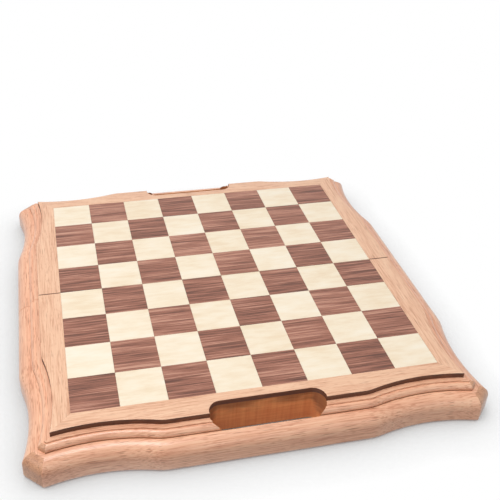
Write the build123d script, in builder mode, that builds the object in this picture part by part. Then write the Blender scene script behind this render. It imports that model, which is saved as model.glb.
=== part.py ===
from build123d import *
from math import acos, cos, degrees, radians, sin, sqrt
import os

# Folding chess board: two shallow wooden half cases, hinged so that their backs open into one flat board.
# X runs along the fold, +Y points from the near half to the far half, +Z is up, sizes are in millimetres.
# The origin is on the table under the middle of the open board, where the hinge knuckles touch it.

# Playing field
SQUARE = 40.0               # side of one playing square
SQUARES_ACROSS = 8          # squares along each side of the field
SQUARE_THICKNESS = 1.0      # inlaid squares on their panel
SQUARE_JOINT = 0.1          # hairline between two squares

# Half cases
HALF_THICKNESS = 35.0       # from the rim to the playing face
BORDER_WIDTH = 21.0         # flat border beside the field, at the straight middle of a side
BORDER_THICKNESS = 5.0      # border strips, flush with the squares
PANEL_LEDGE = 8.0           # how far the panel lies on the rails
PANEL_FIT = 0.1             # room between the panel and the border strips
FOLD_RAIL_WIDTH = 12.0      # straight rail along the fold
FOLD_GAP = 0.4              # between the open halves
RIM_GAP = 0.2               # between the rims of the closed case

# Serpentine edge, as the border strips show it
WAVE_STRAIGHT = 168.0       # straight middle of each side
WAVE_DEPTH = 7.4            # how far the waist draws in behind the straight middle
CREST_RADIUS = 30.0         # round shoulder at the end of the straight middle
WAIST_RADIUS = 190.0        # hollow sweep from the shoulder to the corner
CORNER_LEAD = 1.4           # corner flat of the moulding, outside the border's sharp corner

# Moulding of the rails, outwards and down from the border's edge
FILLET_REACH = 4.4          # flat at the foot of the border
FILLET_DROP = 1.4           # little step under that flat
OVOLO_LAND = 0.2            # between that step and the small quarter round
OVOLO_RADIUS = 4.4          # small quarter round
QUIRK_DROP = 1.2            # little step under the quarter round
EDGE_REACH = 21.2           # outer face of the rails
EDGE_RADIUS = 11.4          # large round-over above the outer face
ARRIS = 0.8                 # chamfer along the lower edge

# Hand slots through the handle rails
SLOT_LENGTH = 100.0
SLOT_WIDTH = 21.6
SLOT_SETBACK = 8.8          # border left between the field and the slot

# Butt hinges
HINGE_LENGTH = 30.0
HINGE_INSET = 57.0          # from a side rail to the middle of its hinge
LEAF_WIDTH = 8.4
LEAF_THICKNESS = 1.0
LEAF_FIT = 0.15             # room round a leaf in its housing
KNUCKLES = 5
KNUCKLE_DIAMETER = 3.2
KNUCKLE_PLAY = 0.2          # end play between two knuckles
KNUCKLE_ROOM = 0.4          # between a knuckle and the groove around it
PIN_DIAMETER = 1.6
PIN_FIT = 0.05

# Corner splines and dowels
SPLINE_LENGTH = 40.0
SPLINE_WIDTH = 15.0
SPLINE_THICKNESS = 4.0
SPLINE_HEIGHT = 10.0        # middle of the spline above the rim
DOWEL_DIAMETER = 6.0
DOWEL_LENGTH = 20.0
DOWEL_HEIGHT = 14.0         # middle of the dowel above the rim
GLUE_GAP = 0.05             # round splines, dowels and magnets

# Closing magnets, two in each handle rail
MAGNET_DIAMETER = 8.0
MAGNET_THICKNESS = 3.0
MAGNET_SPREAD = 200.0       # between the two magnets of a rail
MAGNET_INSET = 20.0         # from the inner face of the rail

# Storage
LINING_THICKNESS = 1.0
LINING_FIT = 0.3            # room between the lining and the rails
BAYS = 9                    # one bay for each of the larger chessmen
PAWN_BAY = 48.0             # depth of the long bay beside the fold
DIVIDER_THICKNESS = 4.0
DIVIDER_RECESS = 1.0        # dividers stop short of the rim
DIVIDER_FIT = 0.2           # room between a divider's end and a rail

# Levels
axis_z = KNUCKLE_DIAMETER / 2
rim_z = axis_z + RIM_GAP / 2
top_z = rim_z + HALF_THICKNESS
rail_top_z = top_z - BORDER_THICKNESS
panel_top_z = top_z - SQUARE_THICKNESS
ovolo_top_z = rail_top_z - FILLET_DROP
edge_top_z = ovolo_top_z - OVOLO_RADIUS - QUIRK_DROP
lining_z = rail_top_z - LINING_THICKNESS
rail_height = rail_top_z - rim_z

# Places in plan
field_edge = SQUARE * SQUARES_ACROSS / 2
fold_edge = FOLD_GAP / 2
rail_inner = field_edge - PANEL_LEDGE
fold_inner = fold_edge + FOLD_RAIL_WIDTH
ovolo_reach = FILLET_REACH + OVOLO_LAND + OVOLO_RADIUS
slot_y = field_edge + SLOT_SETBACK + SLOT_WIDTH / 2
hinge_x = rail_inner - HINGE_INSET
leaf_edge = KNUCKLE_DIAMETER / 2 + KNUCKLE_ROOM
housing_depth = leaf_edge + LEAF_WIDTH + LEAF_FIT
magnet_y = rail_inner + MAGNET_INSET

# Serpentine edge: the middles of its shoulder and waist arcs, for the side that faces +Y
wave_radii = CREST_RADIUS + WAIST_RADIUS
wave_angle = degrees(acos(1 - WAVE_DEPTH / wave_radii))
border_edge = field_edge + BORDER_WIDTH
crest_x = WAVE_STRAIGHT / 2
crest_y = border_edge - CREST_RADIUS
waist_x = crest_x + wave_radii * sin(radians(wave_angle))
waist_y = crest_y + wave_radii * cos(radians(wave_angle))
beyond_edge = 2 * border_edge

# Corners: the sharp corner of the border and the flats of the moulding, along the diagonal from the middle
waist_along = (waist_x + waist_y) / sqrt(2)
waist_aside = (waist_y - waist_x) / sqrt(2)
border_corner = waist_along - sqrt(WAIST_RADIUS**2 - waist_aside**2)
corner_flat = border_corner + CORNER_LEAD
mitre_middle = (rail_inner + (corner_flat + EDGE_REACH) / sqrt(2)) / 2


def side_region(reach):
    """All that lies behind the serpentine edge of the far side, reach outside the border's edge."""
    crest = CREST_RADIUS + reach
    waist = WAIST_RADIUS - reach
    with BuildSketch() as region:
        with BuildLine():
            right_waist = CenterArc((waist_x, waist_y), waist, 0, -(90 + wave_angle))
            right_crest = CenterArc((crest_x, crest_y), crest, 90 - wave_angle, wave_angle)
            left_crest = CenterArc((-crest_x, crest_y), crest, 90, wave_angle)
            left_waist = CenterArc((-waist_x, waist_y), waist, wave_angle - 90, -(90 + wave_angle))
            Line(right_crest @ 1, left_crest @ 0)
            Polyline(
                left_waist @ 1,
                (-(waist_x + waist), -beyond_edge),
                (waist_x + waist, -beyond_edge),
                right_waist @ 0,
            )
        make_face()
    return region.sketch


def edge_plan(reach, height):
    """Whole outline of the board, reach outside the border's edge, with its corner flats."""
    flat = 2 * (corner_flat + reach)
    with BuildSketch(Plane.XY.offset(height)) as plan:
        Rectangle(flat, flat, rotation=45)
        for turn in (0, 90, 180, 270):
            add(side_region(reach), rotation=turn, mode=Mode.INTERSECT)
    return plan.sketch


def handle_plan(inner, height):
    """Mitred region of the near handle side, from inner outwards."""
    with BuildSketch(Plane.XY.offset(height)) as plan:
        Polygon(
            (-inner, -inner),
            (-beyond_edge, -beyond_edge),
            (beyond_edge, -beyond_edge),
            (inner, -inner),
            align=None,
        )
    return plan.sketch


def side_plan(inner, height, side):
    """Region of the near half's left (side -1) or right (side 1), from its mitre to the fold."""
    with BuildSketch(Plane.XY.offset(height)) as plan:
        Polygon(
            (side * inner, -inner),
            (side * beyond_edge, -beyond_edge),
            (side * beyond_edge, -fold_edge),
            (side * inner, -fold_edge),
            align=None,
        )
    return plan.sketch


def slot_plan(height):
    """Hand slot of the near handle side."""
    with BuildSketch(Plane.XY.offset(height)) as plan:
        with Locations((0, -slot_y)):
            SlotOverall(SLOT_LENGTH, SLOT_WIDTH)
    return plan.sketch


def spline_plan(side, room):
    """Lens-shaped spline across the mitre of the near half's left or right corner."""
    middle = (side * mitre_middle, -mitre_middle, rim_z + SPLINE_HEIGHT)
    end = SPLINE_LENGTH / 2 + room
    swell = SPLINE_WIDTH / 2 + room
    with BuildSketch(Plane(middle, x_dir=(side, -1, 0))) as plan:
        with BuildLine():
            ThreePointArc((-end, 0), (0, swell), (end, 0))
            ThreePointArc((-end, 0), (0, -swell), (end, 0))
        make_face()
    return plan.sketch


def across_fold(piece):
    """The same piece on the far half."""
    with BuildPart() as twin:
        mirror(piece, about=Plane.XZ)
    return twin.part


# Moulded blank of all the rails: the outer edge, the quarter round and the flat, one on the other
with BuildPart() as moulding:
    extrude(edge_plan(EDGE_REACH, rim_z), amount=edge_top_z - rim_z)
    fillet(moulding.faces().sort_by(Axis.Z)[-1].outer_wire().edges(), EDGE_RADIUS)
    chamfer(moulding.faces().sort_by(Axis.Z)[0].outer_wire().edges(), ARRIS)
    extrude(edge_plan(ovolo_reach, edge_top_z), amount=ovolo_top_z - edge_top_z)
    fillet(moulding.faces().sort_by(Axis.Z)[-1].outer_wire().edges(), OVOLO_RADIUS)
    extrude(edge_plan(FILLET_REACH, ovolo_top_z), amount=FILLET_DROP)

# Handle rail: mitred ends, hand slot, seats for the magnets and for half of each corner spline
magnet_spots = [(side * MAGNET_SPREAD / 2, -magnet_y, rim_z) for side in (-1, 1)]
with BuildPart() as near_handle_rail:
    add(moulding.part)
    extrude(handle_plan(rail_inner, rim_z), amount=rail_height, mode=Mode.INTERSECT)
    extrude(slot_plan(rim_z), amount=rail_height, mode=Mode.SUBTRACT)
    with Locations(*magnet_spots):
        Cylinder(
            MAGNET_DIAMETER / 2 + GLUE_GAP,
            MAGNET_THICKNESS + GLUE_GAP,
            align=(Align.CENTER, Align.CENTER, Align.MIN),
            mode=Mode.SUBTRACT,
        )
    for side in (-1, 1):
        extrude(
            spline_plan(side, GLUE_GAP),
            amount=SPLINE_THICKNESS / 2 + GLUE_GAP,
            both=True,
            mode=Mode.SUBTRACT,
        )

# Magnets, flush with the rim
with BuildPart() as near_magnets:
    with Locations(*magnet_spots):
        Cylinder(
            MAGNET_DIAMETER / 2,
            MAGNET_THICKNESS,
            align=(Align.CENTER, Align.CENTER, Align.MIN),
        )

# Corner splines, glued half into the handle rail and half into a side rail
with BuildPart() as near_corner_splines:
    for side in (-1, 1):
        extrude(spline_plan(side, 0), amount=SPLINE_THICKNESS / 2, both=True)

# Dowels between the fold rail and the side rails
dowel_spots = [
    (side * rail_inner, -(fold_edge + fold_inner) / 2, rim_z + DOWEL_HEIGHT) for side in (-1, 1)
]
with BuildPart() as near_dowels:
    with Locations(*dowel_spots):
        Cylinder(DOWEL_DIAMETER / 2, DOWEL_LENGTH, rotation=(0, 90, 0))


def side_rail(side):
    """Left or right rail of the near half."""
    with BuildPart() as rail:
        add(moulding.part)
        extrude(side_plan(rail_inner, rim_z, side), amount=rail_height, mode=Mode.INTERSECT)
        extrude(
            spline_plan(side, GLUE_GAP),
            amount=SPLINE_THICKNESS / 2 + GLUE_GAP,
            both=True,
            mode=Mode.SUBTRACT,
        )
        with Locations(*dowel_spots):
            Cylinder(
                DOWEL_DIAMETER / 2 + GLUE_GAP,
                DOWEL_LENGTH + 2 * GLUE_GAP,
                rotation=(0, 90, 0),
                mode=Mode.SUBTRACT,
            )
    return rail.part


# Fold rail: dowel holes, housings for the leaves and grooves for the knuckles
with BuildPart() as near_fold_rail:
    with BuildSketch(Plane.XY.offset(rim_z)):
        with Locations((0, -(fold_edge + fold_inner) / 2)):
            Rectangle(2 * rail_inner, FOLD_RAIL_WIDTH)
    extrude(amount=rail_height)
    with Locations(*dowel_spots):
        Cylinder(
            DOWEL_DIAMETER / 2 + GLUE_GAP,
            DOWEL_LENGTH + 2 * GLUE_GAP,
            rotation=(0, 90, 0),
            mode=Mode.SUBTRACT,
        )
    with BuildSketch(Plane.XY.offset(rim_z)):
        with Locations((-hinge_x, -housing_depth / 2), (hinge_x, -housing_depth / 2)):
            Rectangle(HINGE_LENGTH + 2 * LEAF_FIT, housing_depth)
    extrude(amount=LEAF_THICKNESS, mode=Mode.SUBTRACT)
    with Locations((-hinge_x, 0, axis_z), (hinge_x, 0, axis_z)):
        Cylinder(
            KNUCKLE_DIAMETER / 2 + KNUCKLE_ROOM,
            HINGE_LENGTH + 2 * LEAF_FIT,
            rotation=(0, 90, 0),
            mode=Mode.SUBTRACT,
        )


def hinge_leaf(middle_x, side):
    """Near (side -1) or far (side 1) leaf of the hinge at middle_x, with its own knuckles."""
    pitch = HINGE_LENGTH / KNUCKLES
    length = pitch - KNUCKLE_PLAY
    first = 0 if side < 0 else 1
    starts = middle_x - (HINGE_LENGTH - pitch) / 2
    knuckle_xs = [starts + place * pitch for place in range(first, KNUCKLES, 2)]
    with BuildPart() as leaf:
        with BuildSketch(Plane.XY.offset(rim_z)):
            with Locations((middle_x, side * (leaf_edge + LEAF_WIDTH / 2))):
                Rectangle(HINGE_LENGTH, LEAF_WIDTH)
            with Locations(*[(x, side * leaf_edge / 2) for x in knuckle_xs]):
                Rectangle(length, leaf_edge)
        extrude(amount=LEAF_THICKNESS)
        with Locations(*[(x, 0, axis_z) for x in knuckle_xs]):
            Cylinder(KNUCKLE_DIAMETER / 2, length, rotation=(0, 90, 0))
        with Locations((middle_x, 0, axis_z)):
            Cylinder(PIN_DIAMETER / 2 + PIN_FIT, HINGE_LENGTH, rotation=(0, 90, 0), mode=Mode.SUBTRACT)
    return leaf.part


def hinge_pin(middle_x):
    """Pin through all the knuckles of a hinge."""
    with BuildPart() as pin:
        with Locations((middle_x, 0, axis_z)):
            Cylinder(PIN_DIAMETER / 2, HINGE_LENGTH, rotation=(0, 90, 0))
    return pin.part


# Border strips on top of the rails, with the hand slot carried through
with BuildPart() as near_handle_border:
    extrude(edge_plan(0, rail_top_z), amount=BORDER_THICKNESS)
    extrude(handle_plan(field_edge, rail_top_z), amount=BORDER_THICKNESS, mode=Mode.INTERSECT)
    extrude(slot_plan(rail_top_z), amount=BORDER_THICKNESS, mode=Mode.SUBTRACT)


def side_border(side):
    """Left or right border strip of the near half."""
    with BuildPart() as strip:
        extrude(edge_plan(0, rail_top_z), amount=BORDER_THICKNESS)
        extrude(side_plan(field_edge, rail_top_z, side), amount=BORDER_THICKNESS, mode=Mode.INTERSECT)
    return strip.part


# Panel under the squares, laid on the rails between the border strips
panel_edge = field_edge - PANEL_FIT
with BuildPart() as near_panel:
    with BuildSketch(Plane.XY.offset(rail_top_z)):
        with Locations((0, -(panel_edge + fold_edge) / 2)):
            Rectangle(2 * panel_edge, panel_edge - fold_edge)
    extrude(amount=panel_top_z - rail_top_z)


def squares(rows, shade):
    """Squares of one shade in the given rows, counted from the near left corner, which is dark."""
    with BuildPart() as tiles:
        with BuildSketch(Plane.XY.offset(panel_top_z)):
            for row in rows:
                for column in range(SQUARES_ACROSS):
                    if (row + column) % 2 == shade:
                        corner = (column * SQUARE - field_edge, row * SQUARE - field_edge)
                        with Locations((corner[0] + SQUARE / 2, corner[1] + SQUARE / 2)):
                            Rectangle(SQUARE - SQUARE_JOINT, SQUARE - SQUARE_JOINT)
            Rectangle(2 * field_edge, FOLD_GAP, mode=Mode.SUBTRACT)
        extrude(amount=SQUARE_THICKNESS)
    return tiles.part


DARK = 0
LIGHT = 1
near_rows = range(SQUARES_ACROSS // 2)
far_rows = range(SQUARES_ACROSS // 2, SQUARES_ACROSS)

# Felt under the panel, inside the rails
with BuildPart() as near_lining:
    with BuildSketch(Plane.XY.offset(lining_z)):
        with Locations((0, -(rail_inner + fold_inner) / 2)):
            Rectangle(2 * (rail_inner - LINING_FIT), rail_inner - fold_inner - 2 * LINING_FIT)
    extrude(amount=LINING_THICKNESS)

# Dividers: a long one beside the pawns' bay, and short ones between the other bays
divider_z = rim_z + DIVIDER_RECESS
long_divider_y = fold_inner + PAWN_BAY + DIVIDER_THICKNESS / 2
bays_near = rail_inner - DIVIDER_FIT
bays_far = long_divider_y + DIVIDER_THICKNESS / 2
bay_pitch = (2 * rail_inner + DIVIDER_THICKNESS) / BAYS
with BuildPart() as near_long_divider:
    with BuildSketch(Plane.XY.offset(divider_z)):
        with Locations((0, -long_divider_y)):
            Rectangle(2 * (rail_inner - DIVIDER_FIT), DIVIDER_THICKNESS)
    extrude(amount=lining_z - divider_z)
with BuildPart() as near_short_dividers:
    with BuildSketch(Plane.XY.offset(divider_z)):
        with Locations((0, -(bays_near + bays_far) / 2)):
            with GridLocations(bay_pitch, 0, BAYS - 1, 1):
                Rectangle(DIVIDER_THICKNESS, bays_near - bays_far)
    extrude(amount=lining_z - divider_z)

# Pieces of the near half that the far half repeats in mirror image
near_pieces = {
    "handle_rail": near_handle_rail.part,
    "left_rail": side_rail(-1),
    "right_rail": side_rail(1),
    "fold_rail": near_fold_rail.part,
    "handle_border": near_handle_border.part,
    "left_border": side_border(-1),
    "right_border": side_border(1),
    "panel": near_panel.part,
    "lining": near_lining.part,
    "long_divider": near_long_divider.part,
    "short_dividers": near_short_dividers.part,
    "magnets": near_magnets.part,
    "corner_splines": near_corner_splines.part,
    "dowels": near_dowels.part,
}
pieces = {f"near_{name}": piece for name, piece in near_pieces.items()}
pieces.update({f"far_{name}": across_fold(piece) for name, piece in near_pieces.items()})

# Squares, hinge leaves and pins, which are not mirror images
pieces["near_dark_squares"] = squares(near_rows, DARK)
pieces["near_light_squares"] = squares(near_rows, LIGHT)
pieces["far_dark_squares"] = squares(far_rows, DARK)
pieces["far_light_squares"] = squares(far_rows, LIGHT)
for hand, middle_x in (("left", -hinge_x), ("right", hinge_x)):
    pieces[f"{hand}_hinge_near_leaf"] = hinge_leaf(middle_x, -1)
    pieces[f"{hand}_hinge_far_leaf"] = hinge_leaf(middle_x, 1)
    pieces[f"{hand}_hinge_pin"] = hinge_pin(middle_x)

os.makedirs("parts", exist_ok=True)
for name, piece in pieces.items():
    piece.label = name
    export_step(piece, f"parts/{name}.step")
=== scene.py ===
"""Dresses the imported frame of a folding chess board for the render.

Sizes are in millimetres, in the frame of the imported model: X along the fold, +Y from the near half to the far
half, +Z up through the playing face. They become metres when a mesh is made.
"""
import logging
import math
from dataclasses import dataclass
from enum import Enum

import bmesh
import bpy
import numpy as np
from mathutils import Matrix, Vector

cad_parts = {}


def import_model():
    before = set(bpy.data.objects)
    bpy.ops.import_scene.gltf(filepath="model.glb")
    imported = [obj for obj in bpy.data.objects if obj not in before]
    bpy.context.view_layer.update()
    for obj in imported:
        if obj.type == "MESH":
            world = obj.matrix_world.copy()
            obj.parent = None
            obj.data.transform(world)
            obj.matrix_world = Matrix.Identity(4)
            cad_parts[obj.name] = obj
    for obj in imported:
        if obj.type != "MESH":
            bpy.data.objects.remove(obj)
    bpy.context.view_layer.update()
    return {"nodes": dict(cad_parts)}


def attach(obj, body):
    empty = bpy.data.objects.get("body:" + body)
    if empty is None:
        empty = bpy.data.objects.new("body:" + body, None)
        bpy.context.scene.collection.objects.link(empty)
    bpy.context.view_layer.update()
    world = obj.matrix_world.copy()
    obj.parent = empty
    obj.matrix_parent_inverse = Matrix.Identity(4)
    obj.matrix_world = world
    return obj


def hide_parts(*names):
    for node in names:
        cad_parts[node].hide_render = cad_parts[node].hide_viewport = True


LOG = logging.getLogger("chess_board")
MM = 0.001
IMAGE_SIDE = 500            # pixels of the photograph's frame
SENSOR = 36.0               # camera sensor, mm
CREASE = math.radians(32)   # edges sharper than this stay sharp in smooth shading
MITRE_LIMIT = 0.5           # keeps a sharp corner of an inset outline from being thrown far in
UPRIGHT = 0.2               # a face whose normal rises less is upright
SIDEWAYS = 0.8              # a face whose normal rises less looks sideways
DIAGONAL = 0.25             # a face whose normal is this even in X and Y looks along a diagonal
OUTWARDS = 0.3              # a face whose normal leads away from the middle by more looks outwards
WHITE = (1.0, 1.0, 1.0, 1.0)
SEEN_RAYS = ("Is Camera Ray", "Is Glossy Ray", "Is Transmission Ray")

# Driving dimensions that several sub-assemblies share
SQUARE = 40.0                       # side of a square
COUNT = 8                           # squares across the field
FIELD_EDGE = SQUARE * COUNT / 2     # edge of the field from the middle of the board
FOLD_EDGE = 0.2                     # where the half cases part, from the fold
RIM = 1.7                           # level of the rims
RAIL_TOP = RIM + 30.0               # level of the rails' upper faces
TOP = RAIL_TOP + 5.0                # level of the playing face
RAIL_INNER = FIELD_EDGE - 8.0       # inner faces of the rails from the middle of the board
EDGE_REACH = 21.2                   # outermost reach of the moulding past the border's edge

Array = np.ndarray
Colour = tuple[float, float, float, float]
Pair = tuple[float, float]
Triple = tuple[float, float, float]
Material, Mesh, Object = bpy.types.Material, bpy.types.Mesh, bpy.types.Object


class Choice(Enum):
    """Choice whose word is used in the names of pieces."""

    @property
    def word(self) -> str:
        """Plain word for the choice."""
        return self.name.lower()


class Half(Choice):
    """The two half cases, with the sign of their Y."""

    NEAR = -1
    FAR = 1

    @property
    def body(self) -> str:
        """Body of the frame that carries the half."""
        return f"{self.word}_half"


class Hand(Choice):
    """Left and right of the board, with the sign of their X."""

    LEFT = -1
    RIGHT = 1


class Corner(Enum):
    """How a side of the outline ends at its mitre."""

    SHARP = "sharp"
    FLAT = "flat"


class Grain(Enum):
    """Turn about Z, in degrees, that brings the grain of a wood onto X."""

    ALONG_X = 0.0
    ALONG_Y = 90.0


class Shade(Choice):
    """Shade of a square, as the remainder of row plus column over two."""

    DARK = 0
    LIGHT = 1


@dataclass
class Shell:
    """Closed skin of a piece.

    Attributes:
        points: vertices in millimetres, n by 3.
        faces: lists of vertex numbers.
    """

    points: Array
    faces: list[list[int]]

    def mesh(self, name: str) -> Mesh:
        """The shell as a Blender mesh in metres, with its faces outwards.

        Args:
            name: name of the mesh.
        Returns:
            The new mesh.
        """
        mesh = bpy.data.meshes.new(name)
        mesh.from_pydata((self.points * MM).tolist(), [], self.faces)
        probe = bmesh.new()
        probe.from_mesh(mesh)
        if probe.calc_volume(signed=True) < 0:
            mesh.flip_normals()
        probe.free()
        return mesh


def quads_of(ids: Array, wrap_rows: bool, wrap_columns: bool) -> list[list[int]]:
    """Quads between the neighbours of a grid of vertex numbers.

    Args:
        ids: grid of vertex numbers, or a stack of such grids.
        wrap_rows: whether the last row joins the first.
        wrap_columns: whether the last column joins the first.
    Returns:
        Lists of four vertex numbers.
    """
    below, right = np.roll(ids, -1, axis=-2), np.roll(ids, -1, axis=-1)
    across = np.roll(below, -1, axis=-1)
    rows = slice(None) if wrap_rows else slice(0, -1)
    columns = slice(None) if wrap_columns else slice(0, -1)
    grid = np.stack([ids, right, across, below], axis=-1)[..., rows, columns, :]
    return grid.reshape(-1, 4).tolist()


def carried(rings: Array) -> Shell:
    """Skin of a closed profile carried along a path, with the profile as a cap at each end.

    Args:
        rings: place of each profile point at each step of the path, profile points by steps by 3.
    Returns:
        The closed shell.
    """
    ids = np.arange(rings.shape[0] * rings.shape[1]).reshape(rings.shape[:2])
    caps = [ids[:, 0].tolist(), ids[::-1, -1].tolist()]
    return Shell(rings.reshape(-1, 3), quads_of(ids, True, False) + caps)


def stacked(points: Array, tube: bool = False) -> Shell:
    """Skins over stacks of closed rings.

    Args:
        points: stacks by rings by points of a ring by 3.
        tube: whether the last ring joins the first, in place of a cap at each end.
    Returns:
        All the stacks as one shell.
    """
    ids = np.arange(points.size // 3).reshape(points.shape[:3])
    caps = [] if tube else ids[:, 0, ::-1].tolist() + ids[:, -1].tolist()
    return Shell(points.reshape(-1, 3), quads_of(ids, tube, True) + caps)


def spun(profile: Array, centres: Array, axis: int, segments: int, tube: bool = False) -> Shell:
    """Profile turned about an axis, once about each centre.

    The point at (along, radius) and turn t is (along, radius cos t, radius sin t), rolled so that along lies
    on the axis.

    Args:
        profile: points as (along, radius).
        centres: k by 3.
        axis: 0 for X, 2 for Z.
        segments: steps round the axis.
        tube: whether the profile closes on itself, as the wall of a tube does.
    Returns:
        All the turned shapes as one shell, capped where their profiles end.
    """
    turn = np.linspace(0, 2 * math.pi, segments, endpoint=False)
    along, radius = profile[:, :1] + 0 * turn, profile[:, 1:]
    ring = np.stack([along, radius * np.cos(turn), radius * np.sin(turn)], axis=-1)
    return stacked(np.roll(ring, axis, axis=-1)[None] + np.reshape(centres, (-1, 1, 1, 3)), tube)


def eased_blocks(low: Array, high: Array, ease: float, steps: int = 3) -> Shell:
    """Blocks with rounded corners in plan and rounded upper and lower edges.

    The plan is a rectangle with quarter circles of one and a half times the ease at its corners. From the
    lowest level up, it grows by ease sin t while the level rises by ease (1 - cos t). The top mirrors that.

    Args:
        low: lowest corners, k by 3.
        high: highest corners, k by 3.
        ease: radius of the upper and lower edges.
        steps: points on each quarter circle.
    Returns:
        All the blocks as one shell.
    """
    low, high = np.atleast_2d(low).astype(float), np.atleast_2d(high).astype(float)
    turn = np.linspace(0, math.pi / 2, steps)
    angles = (np.arange(4)[:, None] * math.pi / 2 + turn).ravel()
    ways = np.stack([np.cos(angles), np.sin(angles)], axis=-1)
    signs = np.repeat(np.array([(1, 1), (-1, 1), (-1, -1), (1, -1)], float), steps, axis=0)
    drawn_in = ease * (1 - np.sin(np.concatenate([turn, turn[::-1]])))
    rise = ease * (1 - np.cos(turn))
    corner = 1.5 * ease
    middle, reach = (low + high) / 2, (high - low) / 2
    plan = signs * (reach[:, None, None, :2] - corner) + (corner - drawn_in)[None, :, None, None] * ways
    plan = plan + middle[:, None, None, :2]
    level = np.concatenate([low[:, 2:] + rise, high[:, 2:] - rise[::-1]], axis=1)
    level = np.broadcast_to(level[:, :, None, None], plan.shape[:3] + (1,))
    return stacked(np.concatenate([plan, level], axis=-1))


def inset_outline(outline: Array, depth: float) -> Array:
    """Outline drawn in by depth, each point moved against the mean normal of its two edges.

    Args:
        outline: points of a closed outline, n by 2.
        depth: how far each edge moves in.
    Returns:
        The moved points.
    """
    edges = np.roll(outline, -1, axis=0) - outline
    area = np.sum(outline[:, 0] * np.roll(outline[:, 1], -1) - np.roll(outline[:, 0], -1) * outline[:, 1])
    normals = np.stack([edges[:, 1], -edges[:, 0]], axis=-1) * np.sign(area)
    normals /= np.linalg.norm(normals, axis=1, keepdims=True)
    mean = normals + np.roll(normals, 1, axis=0)
    return outline - depth * 2 * mean / np.sum(mean * mean, axis=1, keepdims=True).clip(MITRE_LIMIT)


def put(name: str, data: bpy.types.ID) -> Object:
    """Puts a new object into the scene.

    Args:
        name: name of the object.
        data: its mesh, lamp or camera.
    Returns:
        The new object.
    """
    thing = bpy.data.objects.new(name, data)
    bpy.context.scene.collection.objects.link(thing)
    return thing


def cut(mesh: Mesh, tool: Shell) -> Mesh:
    """The mesh with the tool's shape taken out of it.

    Args:
        mesh: mesh to cut, which is used up.
        tool: closed shell of the cut.
    Returns:
        The new mesh.
    """
    blank, cutter = put("blank", mesh), put("cutter", tool.mesh("cutter"))
    saw = blank.modifiers.new("cut", "BOOLEAN")
    saw.operation, saw.solver, saw.object = "DIFFERENCE", "EXACT", cutter
    result = bpy.data.meshes.new_from_object(blank.evaluated_get(bpy.context.evaluated_depsgraph_get()))
    result.name = mesh.name
    for spent in (blank, cutter):
        data = spent.data
        bpy.data.objects.remove(spent)
        bpy.data.meshes.remove(data)
    return result


def srgb(red: int, green: int, blue: int) -> Colour:
    """Linear colour of a display colour, by the sRGB standard's formula.

    Args:
        red, green, blue: levels from 0 to 255.
    Returns:
        The colour, with full alpha.
    """
    shares = np.array([red, green, blue]) / 255
    linear = np.where(shares <= 0.04045, shares / 12.92, ((shares + 0.055) / 1.055) ** 2.4)
    return (*linear.tolist(), 1.0)


class Socket:
    """Shader output that takes part in sums, and adds the Math nodes for them."""

    def __init__(self, tree: "ShaderTree", link: bpy.types.NodeSocket) -> None:
        """Wraps an output of the tree."""
        self.tree = tree
        self.link = link

    def _math(self, operation: str, *terms: "Socket | float") -> "Socket":
        """Math node on these terms."""
        node = self.tree.node("ShaderNodeMath", {"operation": operation}, dict(enumerate(terms)))
        return self.tree.out(node)

    def __add__(self, other: "Socket | float") -> "Socket":
        """Sum."""
        return self._math("ADD", self, other)

    def __sub__(self, other: "Socket | float") -> "Socket":
        """Difference."""
        return self._math("SUBTRACT", self, other)

    def __rsub__(self, other: float) -> "Socket":
        """Difference from a number."""
        return self._math("SUBTRACT", other, self)

    def __mul__(self, other: "Socket | float") -> "Socket":
        """Product."""
        return self._math("MULTIPLY", self, other)

    def __truediv__(self, other: "Socket | float") -> "Socket":
        """Quotient."""
        return self._math("DIVIDE", self, other)

    def __pow__(self, other: float) -> "Socket":
        """Power."""
        return self._math("POWER", self, other)

    def __abs__(self) -> "Socket":
        """Size without its sign."""
        return self._math("ABSOLUTE", self)

    def __gt__(self, other: float) -> "Socket":
        """One where the value is larger, or else nought."""
        return self._math("GREATER_THAN", self, other)

    __radd__ = __add__
    __rmul__ = __mul__

    def at_least(self, other: "Socket | float") -> "Socket":
        """The larger of two values."""
        return self._math("MAXIMUM", self, other)

    def floor(self) -> "Socket":
        """Whole number below the value."""
        return self._math("FLOOR", self)

    def step(self, low: float, high: float) -> "Socket":
        """Smooth step from nought at low to one at high.

        Args:
            low: value where the step begins.
            high: value where it ends.
        Returns:
            The step.
        """
        node = self.tree.node(
            "ShaderNodeMapRange",
            {"interpolation_type": "SMOOTHSTEP"},
            {"Value": self, "From Min": low, "From Max": high},
        )
        return self.tree.out(node)


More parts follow.
